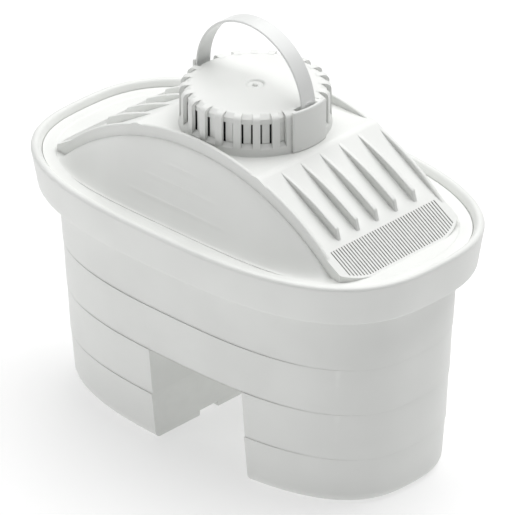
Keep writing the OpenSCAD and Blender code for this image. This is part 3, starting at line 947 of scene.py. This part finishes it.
def make_lid():
    lid = lid_plate()
    toe = stack("toe", [at_height(oval(TOE_HALF, TOE_POWER), z) for z in (SEAT_Z - 1, RIM_Z + 30)])
    bridge = combine(bridge_block(0.0, "bridge"), [side_wall(-1), side_wall(1)], "UNION")
    bridge = combine(bridge, [toe], "INTERSECT")
    front = dome(0.0, "dome")
    back = flip_copy(front, "Y", "dome_back")
    ribs_left, ribs = (in_row(rib(end), LID_WHITE, RIB_COUNT, (0, RIB_PITCH, 0)) for end in RIB_ENDS)
    flip(ribs_left, "X")
    combine(lid, [bridge, front, back, ribs, ribs_left], "UNION")
    hollow_front = dome(DOME_T, "hollow")
    hollow_back = flip_copy(hollow_front, "Y", "hollow_back")
    well = stack("well", [at_height(circle(INLET_R, 96), z) for z in (SEAT_Z, PLATEAU_Z + 9)])
    combine(lid, [bridge_block(BRIDGE_T, "under"), hollow_front, hollow_back, well], "DIFFERENCE")
    combine(lid, comb_cutters(LID_WHITE), "DIFFERENCE")
    lid.name = "lid_skin"
    return shade(lid, 30)


# ---------------------------------------------------------------- inlet cage
def bar():
    """One upright bar, whose tip curls over the cap's edge."""
    low = PLATEAU_Z + RING_H - 0.8
    crown = DISC_Z + 0.05
    curl = [(CAGE_R, crown - 1.6)]
    for a in np.radians(np.linspace(0, 90, 7)):
        curl.append((CAGE_R - 1.5 + 1.5 * math.cos(a), crown - 1.3 + 1.3 * math.sin(a)))
    profile = [(SHOULDER_R + 0.1, low), (CAGE_R, low)] + curl + [
        (DISC_R - 0.7, crown - 0.02), (DISC_R - 0.7, DISC_Z + 0.01), (DISC_R + 0.1, DISC_Z + 0.01),
        (SHOULDER_R + 0.1, DISC_Z - SHOULDER_DROP + 0.03)]
    return soften(prism("bar", profile, BAR_W), 0.3, 3)


def end_plate(middle, half_angle):
    """The smooth plate beside one foot of the strap."""
    edge = 0.5
    profile = [(PLATE_IN_R, PLATEAU_Z + 0.02), (PLATE_R, PLATEAU_Z + 0.02), (PLATE_R, PLATE_TOP - edge)]
    for a in np.radians(np.linspace(15, 90, 6)):
        profile.append((PLATE_R - edge + edge * math.cos(a), PLATE_TOP - edge + edge * math.sin(a)))
    profile.append((PLATE_IN_R, PLATE_TOP))
    plate = turned("end_plate", profile, 29, middle - half_angle, middle + half_angle)
    return soften(plate, 0.3, 3, 50)


def make_cage():
    sill = [
        (CAGE_R - RING_T, PLATEAU_Z + 0.02),
        (CAGE_R + 0.25, PLATEAU_Z + 0.02),
        (CAGE_R + 0.12, PLATEAU_Z + 0.35),
        (CAGE_R + 0.08, PLATEAU_Z + RING_H - 0.7),
        (CAGE_R - 0.02, PLATEAU_Z + RING_H - 0.45),
        (CAGE_R - RING_T + 0.1, PLATEAU_Z + RING_H + 0.3),
        (CAGE_R - RING_T, PLATEAU_Z + RING_H + 0.3),
    ]
    ring = turned("sill", sill)
    sides = [in_ring(bar(), CAGE_WHITE, BARS_A_SIDE, first, BAR_STEP) for first in BARS_FROM]
    sides.append(in_ring(bar(), CAGE_WHITE, 2, -PLATE_BAR, 2 * PLATE_BAR))
    plates = [end_plate(0, PLATE_RIGHT), end_plate(180, PLATE_LEFT)]
    cage = combine(ring, [*sides, *plates], "UNION")
    y, z = circle(PIN_R + PIN_ROOM, 24).T
    reach = STRAP_X + PIN_LEN + 0.1
    hole = stack("pin_hole", [np.column_stack([np.full(24, x), y, PIVOT_Z + z])
                              for x in (-reach, reach)])
    combine(cage, [hole], "DIFFERENCE")
    cage.name = "inlet_cage_skin"
    return shade(cage, 34)


# ---------------------------------------------------------------- inlet cap
def cap_profile():
    """Half a section through the disc: dished, with a ring and a dimple at the gate."""
    under = DISC_Z - 1.3
    low = DISC_Z - SHOULDER_DROP - 1.2
    inner = SHOULDER_R - STAVE_T
    profile = [(0.0, under), (inner, under), (inner, low), (SHOULDER_R - 0.12, low),
               (SHOULDER_R, low + 0.12), (SHOULDER_R, DISC_Z - SHOULDER_DROP),
               (SHOULDER_R - 0.12, DISC_Z - SHOULDER_DROP + 0.16),
               (DISC_R + 0.15, DISC_Z - 0.14), (DISC_R - 0.15, DISC_Z - 0.02)]
    for r in np.linspace(DISC_R - 0.5, 2.6, 16):
        profile.append((r, DISC_Z - 0.22 * (1 - (r / DISC_R) ** 2)))
    flat = DISC_Z - 0.22
    profile += [(2.2, flat + 0.02), (2.0, flat - 0.1), (1.75, flat - 0.32), (1.1, flat - 0.36),
                (0.7, flat - 0.36), (0.55, flat - 0.1), (0.4, flat + 0.02), (0.0, flat + 0.04)]
    return profile


def disc_body():
    """The cap's disc as one closed skin, pinched to a point on its axis above and below."""
    profile = np.array(cap_profile())
    steps = 192
    inner = profile[1:-1]
    rings = spun(inner, np.linspace(0, 2 * math.pi, steps, endpoint=False))
    count = len(inner)
    points = [tuple(p) for ring in rings for p in ring]
    low, high = len(points), len(points) + 1
    points += [(0, 0, profile[0, 1]), (0, 0, profile[-1, 1])]
    faces = []
    for j in range(steps):
        n = (j + 1) % steps
        for i in range(count - 1):
            faces.append((j * count + i, n * count + i, n * count + i + 1, j * count + i + 1))
        faces.append((low, n * count, j * count))
        faces.append((high, j * count + count - 1, n * count + count - 1))
    points = np.array(points)
    top = points[:, 2] > DISC_Z - 0.5
    reach = np.hypot(points[:, 0], points[:, 1])
    calm = np.clip((DISC_R - 1 - reach) / 4, 0, 1)
    wave = 0.11 * np.sin(points[:, 0] * 0.31 + 0.7) * np.cos(points[:, 1] * 0.27 - 0.4)
    points[:, 2] += np.where(top, calm * wave, 0)
    return outward(new_piece("inlet_cap_skin", points, faces))


def ear(middle, half_angle):
    """The part of the cap that reaches out to an end plate, where the strap's foot sits."""
    low = PIVOT_Z - STRAP_W / 2 - 0.9
    root = DISC_R - 0.6
    profile = [(root, low), (EAR_R, low), (EAR_R, DISC_Z - 0.25), (EAR_R - 0.12, DISC_Z - 0.12),
               (root, DISC_Z - 0.06)]
    return turned("ear", profile, 25, middle - half_angle, middle + half_angle)


def strap_trough(side):
    """The room that the strap's foot sweeps as it folds."""
    half = STRAP_W / 2 + 0.3
    low = math.radians(-STRAP_TURN - 2)
    reach = 12
    foot = [(half * math.cos(a), half * math.sin(a)) for a in np.linspace(low, -math.pi - low, 17)]
    corner = (half * math.cos(low) - reach * math.sin(low),
              half * math.sin(low) + reach * math.cos(low))
    outline = foot + [(-corner[0], corner[1]), (0, 2 * reach), corner]
    inner, outer = DISC_R + 0.1, STRAP_X + 0.25
    rings = [np.array([(side * x, y, PIVOT_Z + z) for y, z in outline]) for x in (inner, outer)]
    return stack("trough", rings)


def make_cap():
    disc = disc_body()
    low = PLATEAU_Z + 0.1
    inner = SHOULDER_R - STAVE_T
    hoop = turned("hoop", [(inner, low), (SHOULDER_R - 0.4, low),
                           (SHOULDER_R - 0.4, low + 1.5), (inner, low + 1.5)])
    top = DISC_Z - SHOULDER_DROP - 0.6
    stave = block("stave", (inner + 0.02, -STAVE_W / 2, low + 0.3), (SHOULDER_R - 0.1, STAVE_W / 2, top))
    soften(stave, 0.12, 2)
    far_stave = flip_copy(stave, "Y", "far_stave")
    rows = [in_ring(piece, CAP_WHITE, BARS_A_SIDE, first, BAR_STEP)
            for piece, first in zip((stave, far_stave), STAVES_FROM)]
    under_ear = PIVOT_Z - STRAP_W / 2 - 0.5
    section = [(inner + 0.02, low + 0.3), (SHOULDER_R - 0.1, low + 0.3),
               (SHOULDER_R - 0.1, under_ear), (inner + 0.02, under_ear)]
    end_stave = turned("end_stave", section, 13, *END_STAVE)
    combine(disc, [hoop, *rows, end_stave, ear(0, EAR_RIGHT), ear(180, EAR_LEFT)], "UNION")
    combine(disc, [strap_trough(-1), strap_trough(1)], "DIFFERENCE")
    return shade(disc, 34)


# ---------------------------------------------------------------- strap
def make_strap():
    """A thin moulded band bent into an arch, with a round foot and a pin at each end."""
    section = rounded_box((-STRAP_W / 2, -STRAP_T / 2), (STRAP_W / 2, STRAP_T / 2), 0.2, 4)
    a, b = STRAP_X - STRAP_T / 2, STRAP_RISE - STRAP_T / 2
    rings = []
    for t in np.linspace(0, math.pi, 121):
        middle = np.array([a * math.cos(t), b * math.sin(t)])
        out = np.array([math.cos(t) / a, math.sin(t) / b])
        out /= np.hypot(*out)
        rings.append(np.array([
            (middle[0] + out[0] * v, u, PIVOT_Z + middle[1] + out[1] * v) for u, v in section]))
    band = stack("lift_strap_skin", rings)
    for side in (-1, 1):
        disc = [at_height(circle(STRAP_W / 2, 48) * f, z) for f, z in (
            (0.93, -STRAP_T / 2), (1.0, -STRAP_T / 2 + 0.15),
            (1.0, STRAP_T / 2 - 0.15), (0.93, STRAP_T / 2))]
        pin = [at_height(circle(PIN_R, 48) * f, z) for f, z in (
            (1.0, 0.0), (1.0, PIN_LEN + STRAP_T / 2 - 0.2), (0.75, PIN_LEN + STRAP_T / 2 - 0.02))]
        for name, rings in (("foot", disc), ("pin", pin)):
            rings = [np.column_stack([side * (a + r[:, 2]), r[:, 0], PIVOT_Z + r[:, 1]]) for r in rings]
            combine(band, [stack(name, rings)], "UNION")
    return shade(band, 34)


# ---------------------------------------------------------------- outlet grilles
def make_grille(side, name):
    """A plate with two rows of slots; the gap round it is counted in when the slots are spaced."""
    low, high = GRILLE_BOXES[side]
    steps = ((0.25, low[2]), (0.0, low[2] + 0.25), (0.0, high[2] - 0.15), (0.15, high[2]))
    plate = stack(name, [at_height(rounded_box(low[:2] + d, high[:2] - d, GRILLE_R - d), z)
                         for d, z in steps])
    span = high[0] - low[0] + 2 * GRILLE_GAP - 2 * GRILLE_EDGE
    count = int((span + GRILLE_PITCH - GRILLE_SLOT_W) / GRILLE_PITCH)
    left = (low[0] + high[0] - GRILLE_SLOT_W) / 2
    reach = (high[1] - low[1] + 2 * GRILLE_GAP) / 2
    for sign in (-1, 1):
        near, far = sorted((sign * GRILLE_EDGE, sign * (reach - GRILLE_EDGE)))
        slot = block("slot", (left, near, low[2] - 1), (left + GRILLE_SLOT_W, far, high[2] + 1))
        combine(plate, [in_row(slot, GRILLE_WHITE, count, (GRILLE_PITCH, 0, 0))], "DIFFERENCE")
    return shade(plate, 34)


# ---------------------------------------------------------------- assembly
def place(piece, material, body, node):
    paint(piece, material)
    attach(piece, body)
    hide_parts(node)


place(make_housing(), SHELL, "cartridge", "housing")
place(make_lid(), LID_WHITE, "cartridge", "lid")
place(make_cage(), CAGE_WHITE, "cartridge", "inlet_cage")
place(make_cap(), CAP_WHITE, "cartridge", "inlet_cap")
place(make_strap(), STRAP_WHITE, "strap", "lift_strap")
for leg, grille in ((-1, "outlet_grille_left"), (1, "outlet_grille_right")):
    place(make_grille(leg, grille + "_skin"), GRILLE_WHITE, "cartridge", grille)

HIDDEN_FINISHES = {
    "inlet_mesh": INLET_WEAVE, "vent_mesh": VENT_WEAVE, "outlet_mesh": OUTLET_WEAVE,
    "top_felt": FELT, "leg_felt": FELT, "base_felt": FELT, "carbon_bed": CARBON, "resin_bed": RESIN,
}
for node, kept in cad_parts.items():
    for start, material in HIDDEN_FINISHES.items():
        if node.startswith(start):
            paint(kept, material)


# ---------------------------------------------------------------- camera, light and floor
CAMERA_TURN = 44.24
CAMERA_RISE = 28.53
CAMERA_ROLL = -0.25
CAMERA_AWAY = 1917.0
CAMERA_LENS = 615.0
LOOK_SIDE = 0.3
LOOK_DOWN = 16.9
SENSOR_W = 36.0

FLOOR_HALF = 3000.0
FLOOR_DROP = 0.05
FLOOR_GREY = 0.6
FLOOR_GLOW = 0.46
WORLD_GLOW = 0.18
LIGHTS_AIM = (0, 0, 0.04)


def add_camera():
    a, e = math.radians(CAMERA_TURN), math.radians(CAMERA_RISE)
    back = Vector((math.sin(a) * math.cos(e), -math.cos(a) * math.cos(e), math.sin(e)))
    right = Vector((math.cos(a), math.sin(a), 0))
    up = back.cross(right)
    centre = Vector((0, 0, RIM_Z))
    aim = centre + right * LOOK_SIDE - up * LOOK_DOWN
    eye = centre + back * CAMERA_AWAY
    data = bpy.data.cameras.new("camera")
    data.lens = CAMERA_LENS
    data.sensor_width = SENSOR_W
    data.clip_start, data.clip_end = 0.1, 20
    camera = bpy.data.objects.new("camera", data)
    bpy.context.scene.collection.objects.link(camera)
    facing = (aim - eye).to_track_quat("-Z", "Y").to_matrix().to_4x4()
    camera.matrix_world = (Matrix.Translation(eye * MM) @ facing
                           @ Matrix.Rotation(math.radians(CAMERA_ROLL), 4, "Z"))
    bpy.context.scene.camera = camera


def add_softbox(name, place_m, size, watts):
    """A rectangular light at a place in metres, turned to the cartridge."""
    data = bpy.data.lights.new(name, "AREA")
    data.shape = "RECTANGLE"
    data.size, data.size_y = size
    data.energy = watts
    light = bpy.data.objects.new(name, data)
    bpy.context.scene.collection.objects.link(light)
    light.location = place_m
    light.rotation_euler = (Vector(LIGHTS_AIM) - Vector(place_m)).to_track_quat("-Z", "Y").to_euler()


def add_floor():
    """A plain lit table, seen only from above."""
    signs = ((-1, -1), (1, -1), (1, 1), (-1, 1))
    corners = [(x * FLOOR_HALF, y * FLOOR_HALF, -FLOOR_DROP) for x, y in signs]
    floor = new_piece("studio_floor", corners, [(0, 1, 2, 3)])
    made, nodes, links, shader = blank_material("pale studio floor")
    shader.inputs["Base Color"].default_value = (FLOOR_GREY, FLOOR_GREY, FLOOR_GREY, 1)
    shader.inputs["Roughness"].default_value = 0.9
    shader.inputs["Specular IOR Level"].default_value = 0.1
    shader.inputs["Emission Color"].default_value = (1, 1, 1, 1)
    shader.inputs["Emission Strength"].default_value = FLOOR_GLOW
    from_below = nodes.new("ShaderNodeNewGeometry").outputs["Backfacing"]
    clear = nodes.new("ShaderNodeBsdfTransparent")
    either = nodes.new("ShaderNodeMixShader")
    links.new(from_below, either.inputs[0])
    links.new(shader.outputs[0], either.inputs[1])
    links.new(clear.outputs[0], either.inputs[2])
    out = next(node for node in nodes if node.type == "OUTPUT_MATERIAL")
    links.new(either.outputs[0], out.inputs["Surface"])
    paint(floor, made)


def add_world():
    world = bpy.data.worlds.new("studio")
    world.use_nodes = True
    sky = world.node_tree.nodes["Background"]
    sky.inputs["Color"].default_value = (1, 1, 1, 1)
    sky.inputs["Strength"].default_value = WORLD_GLOW
    bpy.context.scene.world = world


add_camera()
add_floor()
add_world()
add_softbox("overhead softbox", (-0.05, 0.3, 0.95), (1.2, 1.2), 13.5)
add_softbox("front softbox", (-0.6, -0.95, 0.3), (0.7, 0.5), 2.4)
bpy.context.scene.view_settings.view_transform = "Standard"
